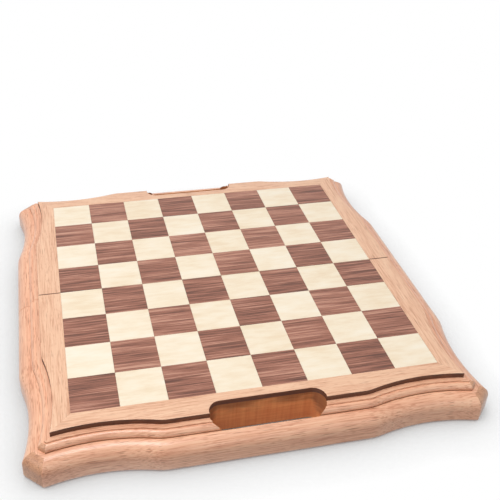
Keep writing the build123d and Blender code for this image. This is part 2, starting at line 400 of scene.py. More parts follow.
class ShaderTree:
    """Node tree of a material or of the surroundings, with one shader at its end."""

    def __init__(self, owner: bpy.types.ID, shader: str, output: str) -> None:
        """Starts the tree.

        Args:
            owner: material or world.
            shader: type of the shader's node.
            output: type of the output's node.
        """
        self.owner = owner
        owner.use_nodes = True
        self.nodes = owner.node_tree.nodes
        self.nodes.clear()
        self.shader = self.node(shader)
        self.output = self.node(output, None, {"Surface": self.out(self.shader)})

    @classmethod
    def of_surface(cls, name: str) -> "ShaderTree":
        """Tree of a new material."""
        return cls(bpy.data.materials.new(name), "ShaderNodeBsdfPrincipled", "ShaderNodeOutputMaterial")

    @classmethod
    def of_world(cls, name: str) -> "ShaderTree":
        """Tree of new surroundings."""
        return cls(bpy.data.worlds.new(name), "ShaderNodeBackground", "ShaderNodeOutputWorld")

    def node(self, kind: str, settings: dict | None = None, inputs: dict | None = None) -> bpy.types.Node:
        """Adds any node.

        Args:
            kind: the node's type.
            settings: its properties, or the stops of a ramp.
            inputs: values or sockets, by the name or number of the input.
        Returns:
            The new node.
        """
        node = self.nodes.new(kind)
        for key, value in (settings or {}).items():
            if key == "stops":
                self._set_stops(node.color_ramp, value)
            else:
                setattr(node, key, value)
        for key, value in (inputs or {}).items():
            self.feed(node, key, value)
        return node

    @staticmethod
    def _set_stops(ramp: bpy.types.ColorRamp, stops: list[tuple[float, Colour]]) -> None:
        """Gives a ramp its stops.

        Args:
            ramp: ramp of a new node.
            stops: places from 0 to 1 and their colours.
        """
        while len(ramp.elements) < len(stops):
            ramp.elements.new(1.0)
        for element, (place, colour) in zip(ramp.elements, stops):
            element.position, element.color = place, colour

    def feed(self, node: bpy.types.Node, key: str | int, value: object) -> None:
        """Links a socket to an input, or sets the input's value.

        Args:
            node: the node.
            key: name of an input in use, or number among all inputs.
            value: socket or plain value.
        """
        enabled = [entry for entry in node.inputs if entry.enabled]
        entry = node.inputs[key] if isinstance(key, int) else next(e for e in enabled if e.name == key)
        if isinstance(value, Socket):
            self.owner.node_tree.links.new(value.link, entry)
        else:
            entry.default_value = value

    def out(self, node: bpy.types.Node, key: str | int = 0) -> Socket:
        """An output of a node.

        Args:
            node: the node.
            key: name or number among the outputs in use.
        Returns:
            The wrapped output.
        """
        enabled = [entry for entry in node.outputs if entry.enabled]
        entry = enabled[key] if isinstance(key, int) else next(e for e in enabled if e.name == key)
        return Socket(self, entry)

    def set(self, **values: object) -> None:
        """Feeds the shader's inputs, with underscores for the spaces in their names."""
        for key, value in values.items():
            self.feed(self.shader, key.replace("_", " "), value)

    def place(self, grain: Grain = Grain.ALONG_X) -> Socket:
        """Object coordinates in millimetres.

        Args:
            grain: the way that the grain runs, which is turned onto X.
        Returns:
            The place.
        """
        where = self.out(self.node("ShaderNodeTexCoord"), "Object")
        turn = (0.0, 0.0, math.radians(grain.value))
        inputs = {"Vector": where, "Rotation": turn, "Scale": (1 / MM,) * 3}
        return self.out(self.node("ShaderNodeMapping", None, inputs))

    def vector(self, operation: str, first: Socket, second: "Socket | tuple") -> Socket:
        """Vector Math node on two vectors."""
        return self.out(self.node("ShaderNodeVectorMath", {"operation": operation}, {0: first, 1: second}))

    def parts(self, vector: Socket) -> tuple[Socket, Socket, Socket]:
        """The three parts of a vector."""
        node = self.node("ShaderNodeSeparateXYZ", None, {0: vector})
        return self.out(node, "X"), self.out(node, "Y"), self.out(node, "Z")

    def together(self, *parts: "Socket | float") -> Socket:
        """A vector from its three parts."""
        return self.out(self.node("ShaderNodeCombineXYZ", None, dict(enumerate(parts))))

    def noise(self, place: Socket, size: Triple, detail: float = 3.0, rough: float = 0.55) -> Socket:
        """Soft noise.

        Args:
            place: place in the piece.
            size: size of the lumps along each axis, mm.
            detail: how many finer layers it has.
            rough: weight of each finer layer.
        Returns:
            Levels about a half.
        """
        where = self.vector("DIVIDE", place, size)
        settings = {"Vector": where, "Scale": 1.0, "Detail": detail, "Roughness": rough}
        return self.out(self.node("ShaderNodeTexNoise", None, settings))

    def cells(self, place: Socket, size: Triple) -> tuple[Socket, Socket]:
        """Scattered cells.

        Args:
            place: place in the piece.
            size: size of the cells along each axis, mm.
        Returns:
            Distance from the middle of the cell, and a chance number for each cell.
        """
        where = self.vector("DIVIDE", place, size)
        node = self.node("ShaderNodeTexVoronoi", None, {"Vector": where, "Scale": 1.0})
        tint = self.parts(self.out(node, "Color"))[0]
        return self.out(node, "Distance"), tint

    def mix(self, share: "Socket | float", first: "Socket | Colour", second: "Socket | Colour") -> Socket:
        """Colour between two colours."""
        inputs = {"Factor": share, "A": first, "B": second}
        return self.out(self.node("ShaderNodeMix", {"data_type": "RGBA"}, inputs))

    def shaded(self, colour: Socket, level: Socket) -> Socket:
        """Colour made darker or lighter by a level about one."""
        return self.vector("MULTIPLY", colour, self.together(level, level, level))

    def ramp(self, value: Socket, stops: list[tuple[float, Colour]]) -> Socket:
        """Colour read from a ramp."""
        return self.out(self.node("ShaderNodeValToRGB", {"stops": stops}, {"Fac": value}), "Color")

    def rays(self, *kinds: str) -> Socket:
        """One for a ray of any of these kinds, or else nought.

        Args:
            kinds: names of Light Path's outputs.
        Returns:
            The mask.
        """
        path = self.node("ShaderNodeLightPath")
        mask = self.out(path, kinds[0])
        for kind in kinds[1:]:
            mask = mask.at_least(self.out(path, kind))
        return mask

    def relief(self, height: Socket, depth: float) -> None:
        """Bumps the surface by a height from 0 to 1, over a depth in millimetres."""
        bump = self.node("ShaderNodeBump", None, {"Height": height, "Distance": depth * MM, "Strength": 1.0})
        self.set(Normal=self.out(bump, "Normal"))


@dataclass(frozen=True)
class Finish:
    """Finish of a surface.

    Attributes:
        name: name of the material.
    """

    name: str

    def material(self) -> Material:
        """Builds the finish.

        Returns:
            The new material.
        """
        tree = ShaderTree.of_surface(self.name)
        self.dress(tree)
        return tree.owner

    def dress(self, tree: ShaderTree) -> None:
        """Gives the surface its colour, gloss and relief."""
        raise NotImplementedError


@dataclass(frozen=True)
class Beech(Finish):
    """Lacquered beech: soft streaks along the grain and short dark flecks.

    Attributes:
        pale, middle, deep: colours of the streaks.
        dark: colour of the darkest flecks.
        grain: the way that the grain runs.
        fleck: length and width of a fleck.
        fleck_depth: how far a fleck darkens the wood.
        slot: hand slot through the piece, whose wall is raw and browner, partly as painted shade inside
        the slot.
        bands, fibres: sizes of the broad and the fine streaks.
        dark_fleck: how much longer and wider the darkest flecks are.
        rarity: shares of the wood's cells without a fleck, and without a darkest fleck.
        fleck_edge: where a fleck begins and ends to fade, in cells from its middle.
        rough, raw: roughness of the planed wood, and what a milled wall adds to it.
        coat, coat_rough: weight and roughness of the lacquer.
        depth: height of the relief.
    """

    pale: Colour
    middle: Colour
    deep: Colour
    dark: Colour
    grain: Grain = Grain.ALONG_X
    fleck: Pair = (7.0, 1.0)
    fleck_depth: float = 0.8
    slot: "HandSlot | None" = None
    bands: Triple = (130.0, 9.0, 9.0)
    fibres: Triple = (26.0, 0.9, 0.9)
    dark_fleck: Pair = (2.6, 1.2)
    rarity: Pair = (0.45, 0.65)
    fleck_edge: Pair = (0.12, 0.4)
    rough: float = 0.34
    raw: float = 0.35
    coat: float = 0.4
    coat_rough: float = 0.15
    depth: float = 0.05

    def dress(self, tree: ShaderTree) -> None:
        """Streaks the wood along its grain, and sets two kinds of flecks into it.

        Args:
            tree: the material's tree.
        """
        place = tree.place(self.grain)
        broad = tree.noise(place, self.bands, 3.0)
        fine = tree.noise(place, self.fibres, 4.0, 0.6)
        tone = broad * 0.35 + fine * 0.65
        colour = tree.ramp(tone, [(0.34, self.deep), (0.5, self.middle), (0.66, self.pale)])
        length, width = self.fleck
        longer, wider = self.dark_fleck
        flecks = self._flecks(tree, place, (length, width), self.rarity[0])
        darkest = self._flecks(tree, place, (longer * length, wider * width), self.rarity[1])
        colour = tree.mix(flecks * self.fleck_depth, colour, self.deep)
        colour = tree.mix(darkest * self.fleck_depth, colour, self.dark)
        rough, coat = self.rough + fine * 0.16, self.coat
        if self.slot is not None:
            wall = self.slot.wall(tree)
            # painted shade: the wall's browner, more saturated colour is partly raw wood, partly the shade
            # inside the slot
            colour = tree.mix(wall, colour, self.slot.milled(tree))
            rough, coat = rough + wall * self.raw, (1.0 - wall) * coat
        tree.set(Base_Color=colour, Roughness=rough, Coat_Weight=coat, Coat_Roughness=self.coat_rough)
        tree.relief(fine * 0.7 - flecks * 0.3, self.depth)

    def _flecks(self, tree: ShaderTree, place: Socket, size: Pair, rarity: float) -> Socket:
        """Where the flecks are.

        Args:
            tree: the material's tree.
            place: place in the wood.
            size: length and width of the cells that hold one fleck each.
            rarity: share of the cells without a fleck.
        Returns:
            One on a fleck, nought beside it.
        """
        length, width = size
        distance, number = tree.cells(place, (length, width, width))
        return (1.0 - distance.step(*self.fleck_edge)) * (number > rarity)


@dataclass(frozen=True)
class Inlay(Finish):
    """Lacquered squares, each cut from its own place in the wood, with the grain along X.

    Attributes:
        stops: colours of the streaks from deep to pale.
        streak: length and width of the streaks.
        spread: how far the squares differ in tone.
        pores: how dark the pores are.
        figure: how much longer and wider the broad figure is than the streaks.
        pore, pore_edge: size of a pore, and the levels between which it fades.
        log: side of the wood that the squares are cut from.
        rough: roughness of the wood.
        coat, coat_rough: weight and roughness of the lacquer.
        depth: height of the relief.
    """

    stops: list[tuple[float, Colour]]
    streak: Pair
    spread: float
    pores: float
    figure: Pair = (1.6, 4.0)
    pore: Triple = (7.0, 0.35, 0.35)
    pore_edge: Pair = (0.6, 0.72)
    log: float = 4000.0
    rough: float = 0.4
    coat: float = 0.1
    coat_rough: float = 0.25
    depth: float = 0.04

    def dress(self, tree: ShaderTree) -> None:
        """Streaks each square from its own place in the wood.

        Args:
            tree: the material's tree.
        """
        place = tree.place()
        x, y, _ = tree.parts(place)
        square = tree.together((x / SQUARE).floor(), (y / SQUARE).floor(), 0.0)
        dice = tree.node("ShaderNodeTexWhiteNoise", {"noise_dimensions": "3D"}, {"Vector": square})
        chance = tree.out(dice, "Value")
        moved = tree.vector("ADD", place, tree.vector("MULTIPLY", tree.out(dice, "Color"), (self.log,) * 3))
        length, width = self.streak
        longer, wider = self.figure
        broad = tree.noise(moved, (longer * length, wider * width, wider * width), 2.0)
        lines = tree.noise(moved, (length, width, width), 5.0, 0.65)
        tone = broad * 0.35 + lines * 0.65 + (chance - 0.5) * self.spread
        pores = tree.noise(moved, self.pore, 1.0).step(*self.pore_edge)
        colour = tree.shaded(tree.ramp(tone, self.stops), 1.0 - pores * self.pores)
        rough = self.rough + lines * 0.1
        tree.set(Base_Color=colour, Roughness=rough, Coat_Weight=self.coat, Coat_Roughness=self.coat_rough)
        tree.relief(lines * 0.6 - pores * 0.4, self.depth)


@dataclass(frozen=True)
class StainedEdge(Finish):
    """Dark finish streaked along the board's faces: stain on a cut edge, and painted shade on the quirk.

    Attributes:
        deep, pale: colours of the streaks.
        layer, patch: sizes of the streaks and of the patches.
        rough: roughness of the wood.
        depth: height of the relief.
    """

    deep: Colour
    pale: Colour
    layer: Triple = (30.0, 30.0, 0.9)
    patch: Triple = (9.0, 9.0, 6.0)
    rough: float = 0.45
    depth: float = 0.05

    def dress(self, tree: ShaderTree) -> None:
        """Streaks the edge and lets the stain take in patches.

        Args:
            tree: the material's tree.
        """
        place = tree.place()
        layers = tree.noise(place, self.layer, 3.0)
        patches = tree.noise(place, self.patch, 2.0)
        colour = tree.ramp(layers * 0.6 + patches * 0.4, [(0.35, self.deep), (0.65, self.pale)])
        tree.set(Base_Color=colour, Roughness=self.rough + layers * 0.15)
        tree.relief(layers, self.depth)


@dataclass(frozen=True)
class Plywood(Finish):
    """Plain plywood: fibres along X on its faces, and plies of two tones at its edges.

    Attributes:
        pale, deep: colours of the fibres.
        ply: thickness of a ply, counted from the rails' upper faces.
        crossing: how much darker every second ply is.
        fibre: size of the fibres.
        rough: roughness of the wood.
        depth: height of the relief.
    """

    pale: Colour
    deep: Colour
    ply: float = 0.8
    crossing: float = 0.7
    fibre: Triple = (26.0, 0.8, 0.4)
    rough: float = 0.6
    depth: float = 0.05

    def dress(self, tree: ShaderTree) -> None:
        """Darkens every second ply, whose end grain shows.

        Args:
            tree: the material's tree.
        """
        place = tree.place()
        pairs = (tree.parts(place)[2] - RAIL_TOP) / (2 * self.ply)
        crossed = (pairs - pairs.floor()) > 0.5
        fibres = tree.noise(place, self.fibre, 4.0, 0.6)
        colour = tree.ramp(fibres, [(0.3, self.deep), (0.6, self.pale)])
        colour = tree.mix(crossed * self.crossing, colour, self.deep)
        tree.set(Base_Color=colour, Roughness=self.rough + fibres * 0.15)
        tree.relief(fibres, self.depth)


@dataclass(frozen=True)
class Felt(Finish):
    """Short felt: matted fibres over a soft mottle.

    Attributes:
        deep, pale: colours of the fibres.
        blotch, fibre, hair: sizes of the mottle, of the matted fibres and of the single hairs.
        rough, sheen: roughness of the pile, and the weight of its sheen.
        depth: height of the pile.
    """

    name: str = "lining_felt"
    deep: Colour = srgb(22, 70, 46)
    pale: Colour = srgb(44, 104, 70)
    blotch: Triple = (14.0, 14.0, 14.0)
    fibre: Triple = (0.5, 0.5, 0.5)
    hair: Triple = (2.4, 0.3, 0.3)
    rough: float = 0.95
    sheen: float = 0.35
    depth: float = 0.25

    def dress(self, tree: ShaderTree) -> None:
        """Mats the fibres and lays single hairs over them.

        Args:
            tree: the material's tree.
        """
        place = tree.place()
        mottle = tree.noise(place, self.blotch, 3.0)
        fibres = tree.noise(place, self.fibre, 4.0, 0.7)
        hairs = tree.noise(place, self.hair, 2.0)
        tone = mottle * 0.35 + fibres * 0.4 + hairs * 0.25
        colour = tree.ramp(tone, [(0.35, self.deep), (0.65, self.pale)])
        tree.set(Base_Color=colour, Roughness=self.rough, Sheen_Weight=self.sheen)
        tree.relief(fibres * 0.6 + hairs * 0.4, self.depth)


@dataclass(frozen=True)
class Metal(Finish):
    """Drawn metal with fine lines, soft blotches and a little tarnish.

    Attributes:
        bright, dull: colours of the clean and the tarnished metal.
        rough: roughness of the clean metal.
        line, blotch: sizes of the drawn lines and of the tarnish.
        tarnish_edge: levels between which the tarnish sets in.
        depth: height of the relief.
    """

    bright: Colour
    dull: Colour
    rough: float
    line: Triple = (9.0, 0.12, 0.12)
    blotch: Triple = (3.0, 3.0, 3.0)
    tarnish_edge: Pair = (0.45, 0.75)
    depth: float = 0.01

    def dress(self, tree: ShaderTree) -> None:
        """Draws the lines and lets the tarnish dull the metal.

        Args:
            tree: the material's tree.
        """
        place = tree.place()
        lines = tree.noise(place, self.line, 2.0)
        tarnish = tree.noise(place, self.blotch, 3.0).step(*self.tarnish_edge)
        colour = tree.mix(tarnish * 0.6, self.bright, self.dull)
        tree.set(Base_Color=colour, Metallic=1.0, Roughness=self.rough + lines * 0.12 + tarnish * 0.12)
        tree.relief(lines, self.depth)


@dataclass(frozen=True)
class HandSlot:
    """Long slot with round ends through a handle side.

    Attributes:
        length, width: size of the slot.
        inset: distance of the slot from the field.
        lip: rounding of its upper edge.
        grip: rounding of its lower edge.
        end_steps, edge_steps: points round an end, and over a rounded edge.
        pale, deep, darkened_wall: colours of the milled wall, browner and more saturated than the rail: partly
        raw wood, partly painted shade inside the slot.
        mark, streak, burn: sizes of the cutter's marks, of the wood's streaks and of the darker patches.
        burn_rise, burn_patch, burn_end: darkening per millimetre of height, from a patch, at a round end.
        burn_start, burn_span: darkening where the wall begins to darken, and how much more darkens it fully.
        burn_depth: how far the wall is darkened towards the top and at the round ends.
    """

    length: float = 100.0
    width: float = 21.6
    inset: float = 8.8
    lip: float = 0.5
    grip: float = 0.15
    end_steps: int = 25
    edge_steps: int = 5
    pale: Colour = srgb(255, 180, 112)
    deep: Colour = srgb(228, 136, 74)
    darkened_wall: Colour = srgb(120, 64, 30)
    mark: Triple = (2.2, 2.2, 60.0)
    streak: Triple = (30.0, 30.0, 1.4)
    burn: Triple = (26.0, 26.0, 9.0)
    burn_rise: float = 0.05
    burn_patch: float = 1.6
    burn_end: float = 0.9
    burn_start: float = 1.7
    burn_span: float = 0.9
    burn_depth: float = 0.7

    @property
    def middle(self) -> float:
        """Distance of the slot's middle line from the fold."""
        return FIELD_EDGE + self.inset + self.width / 2

    @property
    def straight(self) -> float:
        """Half the length of the slot's straight middle line."""
        return (self.length - self.width) / 2

    def cutter(self, half: Half) -> Shell:
        """Shape of the cut from the rim to the playing face.

        A slot outline, two half circles joined by straight runs, is carried up. It draws in through a quarter
        circle at the lower edge and opens again through one at the upper edge.

        Args:
            half: the half case.
        Returns:
            The closed shell.
        """
        turn = np.linspace(0, math.pi / 2, self.edge_steps)
        flare = np.concatenate([[0], 1 - np.sin(turn)])
        rise = np.concatenate([[-1], 1 - np.cos(turn)])
        wider = np.concatenate([self.grip * flare, self.lip * flare[::-1]])
        wider[[0, -1]] = self.grip, self.lip
        level = np.concatenate([RIM + self.grip * rise, TOP - self.lip * rise[::-1]])
        angle = np.linspace(-math.pi / 2, math.pi / 2, self.end_steps)
        angle = np.concatenate([angle, angle + math.pi])[:, None]
        end = np.repeat([1.0, -1.0], self.end_steps)[:, None] * self.straight
        radius = self.width / 2 + wider[None]
        x = end + radius * np.cos(angle)
        y = half.value * (self.middle + radius * np.sin(angle))
        return carried(np.stack([x, y, np.broadcast_to(level[None], x.shape)], axis=-1))

    def past_end(self, tree: ShaderTree) -> Socket:
        """Distance along X past the end of the slot's straight middle line, or nought beside it."""
        return (abs(tree.parts(tree.place())[0]) - self.straight).at_least(0.0)

    def wall(self, tree: ShaderTree) -> Socket:
        """Where the slot's wall is: about half the width from the slot's straight middle line.

        Args:
            tree: the material's tree.
        Returns:
            One on the wall, nought away from it.
        """
        past_end = self.past_end(tree)
        aside = abs(tree.parts(tree.place())[1]) - self.middle
        distance = (past_end * past_end + aside * aside) ** 0.5
        return 1.0 - distance.step(self.width / 2 + self.grip, self.width / 2 + 2 * self.grip)

    def milled(self, tree: ShaderTree) -> Socket:
        """Browner colour of the slot's wall, partly painted shade inside the slot, with the cutter's marks,
        and darker towards the top and at the round ends.

        Args:
            tree: the material's tree.
        Returns:
            The colour.
        """
        place = tree.place()
        marks = tree.noise(place, self.mark, 3.0)
        streaks = tree.noise(place, self.streak, 3.0)
        patches = tree.noise(place, self.burn, 2.0)
        ends = self.past_end(tree).step(0.0, self.width / 2)
        # the wall gets darker towards its top and at its round ends, in patches
        darkening = tree.parts(place)[2] * self.burn_rise + patches * self.burn_patch + ends * self.burn_end
        darkened = darkening.step(self.burn_start, self.burn_start + self.burn_span)
        # browner ramp of the wall, partly painted shade inside the slot
        milled = tree.ramp(marks * 0.5 + streaks * 0.5, [(0.3, self.deep), (0.7, self.pale)])
        return tree.mix(darkened * self.burn_depth, milled, self.darkened_wall)


@dataclass(frozen=True)
class SerpentineEdge:
    """Outline of a side of the board, in steps along the side and outwards.

    Attributes:
        border_width: border at the straight middle of the side.
        straight: length of the straight middle.
        depth: how far the waist draws in.
        crest_radius, waist_radius: arcs of the shoulder and the waist.
        corner_lead: corner flat of the moulding, outside the border's sharp corner.
        corner_round, corner_least: softening of the corner flat at the outermost reach and further in.
        corner_taper: how fast the softening falls off, inwards from the outermost reach.
        mitre_gap: room at each mitre.
        fold_ease: rounding of the ends at the fold.
        run_steps, crest_steps, waist_steps, corner_steps: points of the straight, the arcs and the corner.
    """

    border_width: float = 21.0
    straight: float = 168.0
    depth: float = 7.4
    crest_radius: float = 30.0
    waist_radius: float = 190.0
    corner_lead: float = 1.4
    corner_round: float = 2.0
    corner_least: float = 0.6
    corner_taper: float = 0.5
    mitre_gap: float = 0.01
    fold_ease: float = 0.4
    run_steps: int = 9
    crest_steps: int = 12
    waist_steps: int = 34
    corner_steps: int = 7

    @property
    def border_edge(self) -> float:
        """Outer edge of the border at the straight middle."""
        return FIELD_EDGE + self.border_width

    @property
    def sweep(self) -> float:
        """Angle of the shoulder's arc, in radians."""
        return math.acos(1 - self.depth / (self.crest_radius + self.waist_radius))

    @property
    def waist(self) -> Pair:
        """Middle of the waist's arc, along the side and outwards."""
        radii = self.crest_radius + self.waist_radius
        along = self.straight / 2 + radii * math.sin(self.sweep)
        return along, self.border_edge - self.crest_radius + radii * math.cos(self.sweep)

    @property
    def corner_flat(self) -> float:
        """Distance of the moulding's corner flat from the middle of the board, at reach nought."""
        along, out = self.waist
        aside = (out - along) / math.sqrt(2)
        return (along + out) / math.sqrt(2) - math.sqrt(self.waist_radius**2 - aside**2) + self.corner_lead

    def half_side(self, reach: Array, start: float, corner: Corner) -> Array:
        """Half a side from start to its mitre, for each reach outside the border's edge.

        A straight run, an arc of the shoulder's radius plus reach that bends in, then an arc of the waist's
        radius less reach that bends out. A sharp corner ends on the diagonal. A flat corner has a small arc
        that touches the waist and the flat, and ends in the middle of the flat.

        Args:
            reach: all the reaches.
            start: first place along the side.
            corner: kind of corner.
        Returns:
            Places along and outwards, reaches by steps by 2.
        """
        reach = np.asarray(reach, float)[:, None]
        crest, waist = self.crest_radius + reach, self.waist_radius - reach
        along, out = self.waist
        run = np.linspace(start, self.straight / 2, self.run_steps)[None, :-1] + 0 * reach
        turn = np.linspace(0, self.sweep, self.crest_steps)[None, :-1]
        if corner is Corner.SHARP:
            stop = np.arcsin((out - along) / (math.sqrt(2) * waist)) - math.pi / 4
        else:
            soft = self.corner_round - (EDGE_REACH - reach) * self.corner_taper
            soft = np.maximum(self.corner_least, soft)
            flat = self.corner_flat + reach
            middle = (flat - soft) - (along + out) / math.sqrt(2)
            stop = math.pi / 4 + np.arcsin(middle / (waist + soft))
        lean = -self.sweep + (stop + self.sweep) * np.linspace(0, 1, self.waist_steps)[None]
        xs = [run, self.straight / 2 + crest * np.sin(turn), along + waist * np.sin(lean)]
        ys = [
            self.border_edge + reach + 0 * run,
            self.border_edge - self.crest_radius + crest * np.cos(turn),
            out - waist * np.cos(lean),
        ]
        if corner is Corner.FLAT:
            share = np.linspace(0, 1, self.corner_steps)[None, 1:]
            facing = (math.pi / 2 + stop) - (math.pi / 4 + stop) * share
            xs += [along + (waist + soft) * np.sin(stop) + soft * np.cos(facing), flat / math.sqrt(2)]
            ys += [out - (waist + soft) * np.cos(stop) + soft * np.sin(facing), flat / math.sqrt(2)]
        return np.stack([np.concatenate(xs, axis=1), np.concatenate(ys, axis=1)], axis=-1)

    def strip(self, section: Array, inner: float, start: float, corner: Corner) -> Array:
        """A section carried along half a side, with a straight inner face.

        Args:
            section: points of the outer surface as (reach, level), from the top down.
            inner: distance of the inner face from the fold.
            start: first place along the side.
            corner: kind of corner.
        Returns:
            Rings of the closed section as (along, outwards, level).
        """
        outer = self.half_side(section[:, 0], start, corner)
        level = np.broadcast_to(section[:, 1, None, None], outer.shape[:2] + (1,))
        outer = np.concatenate([outer, level], axis=-1)
        share = (outer[0, :, 0] - start) / (outer[0, -1, 0] - start)
        inside = np.stack([start + (inner - start) * share, 0 * share + inner], axis=-1)
        rows = [np.column_stack([inside, 0 * share + section[end, 1]]) for end in (-1, 0)]
        rings = np.concatenate([outer, np.stack(rows)], axis=0)
        rings[:, -1, 0] -= self.mitre_gap
        return rings

    def handle_strip(self, section: Array, inner: float, half: Half, corner: Corner) -> Shell:
        """The section along a whole handle side, from mitre to mitre.

        Args:
            section: points of the outer surface as (reach, level), from the top down.
            inner: distance of the inner face from the fold.
            half: the half case.
            corner: kind of corner.
        Returns:
            The closed shell.
        """
        rings = self.strip(section, inner, 0.0, corner)
        mirrored = rings[:, :0:-1] * (-1, 1, 1)
        return carried(np.concatenate([mirrored, rings], axis=1) * (1, half.value, 1))

    def side_strip(self, section: Array, inner: float, half: Half, hand: Hand, corner: Corner) -> Shell:
        """The section along a left or right side, from the fold, where its end is eased, to the mitre.

        Args:
            section: points of the outer surface as (reach, level), from the top down.
            inner: distance of the inner face from the middle of the board.
            half: the half case.
            hand: left or right.
            corner: kind of corner.
        Returns:
            The closed shell.
        """
        rings = self.strip(section, inner, FOLD_EDGE + self.fold_ease, corner)
        eased = inset_outline(rings[:, 0, 1:], self.fold_ease)
        end = np.column_stack([np.full(len(eased), FOLD_EDGE), eased])
        rings = np.concatenate([end[:, None], rings], axis=1)
        return carried(rings[..., [1, 0, 2]] * (hand.value, half.value, 1))


def quarter(reach: float, level: float, radius: float, steps: int) -> Array:
    """Quarter circle from straight up to straight out, about a middle at (reach, level)."""
    turn = np.linspace(0, math.pi / 2, steps)
    return np.stack([reach + radius * np.sin(turn), level + radius * np.cos(turn)], axis=-1)


@dataclass(frozen=True)
class Moulding:
    """Section of the rails, outwards and down from the border's edge.

    Attributes:
        fillet_reach, fillet_drop: flat at the foot of the border, and the step under it.
        ovolo_reach, ovolo_radius: small quarter round.
        quirk_drop: step under the quarter round.
        edge_radius: large round-over above the outer face.
        arris: rounding of the lower edge.
        ovolo_steps, edge_steps, arris_steps: points on each of the rounds.
    """

    fillet_reach: float = 4.4
    fillet_drop: float = 1.4
    ovolo_reach: float = 9.0
    ovolo_radius: float = 4.4
    quirk_drop: float = 1.2
    edge_radius: float = 11.4
    arris: float = 0.8
    ovolo_steps: int = 12
    edge_steps: int = 20
    arris_steps: int = 5

    def section(self) -> Array:
        """The outer surface: fillet, quarter round, step, large round-over and lower edge.

        Returns:
            Points as (reach, level), from the top down.
        """
        edge_top, ovolo_foot = self.quirk
        fillet = [(self.fillet_reach, RAIL_TOP), (self.fillet_reach, RAIL_TOP - self.fillet_drop)]
        ovolo = quarter(self.ovolo_reach - self.ovolo_radius, ovolo_foot, self.ovolo_radius, self.ovolo_steps)
        step = [(self.ovolo_reach, edge_top)]
        edge_middle = (EDGE_REACH - self.edge_radius, edge_top - self.edge_radius)
        edge = quarter(*edge_middle, self.edge_radius, self.edge_steps)
        lower = quarter(EDGE_REACH - self.arris, 0.0, self.arris, self.arris_steps) * (1, -1)
        return np.vstack([fillet, ovolo, step, edge, lower[::-1] + (0, RIM + self.arris)])

    @property
    def quirk(self) -> Pair:
        """Lower and upper level of the step under the quarter round."""
        top = RAIL_TOP - self.fillet_drop - self.ovolo_radius
        return top - self.quirk_drop, top


@dataclass(frozen=True)
class BorderStrip:
    """Section of the flat border, flush with the squares.

    Attributes:
        arris, arris_steps: rounding of its upper outer edge, and the points on it.
    """

    arris: float = 0.35
    arris_steps: int = 5

    def section(self) -> Array:
        """Points of the outer surface as (reach, level), from the top down."""
        arris = quarter(-self.arris, TOP - self.arris, self.arris, self.arris_steps)
        return np.vstack([arris, [(0.0, RAIL_TOP)]])


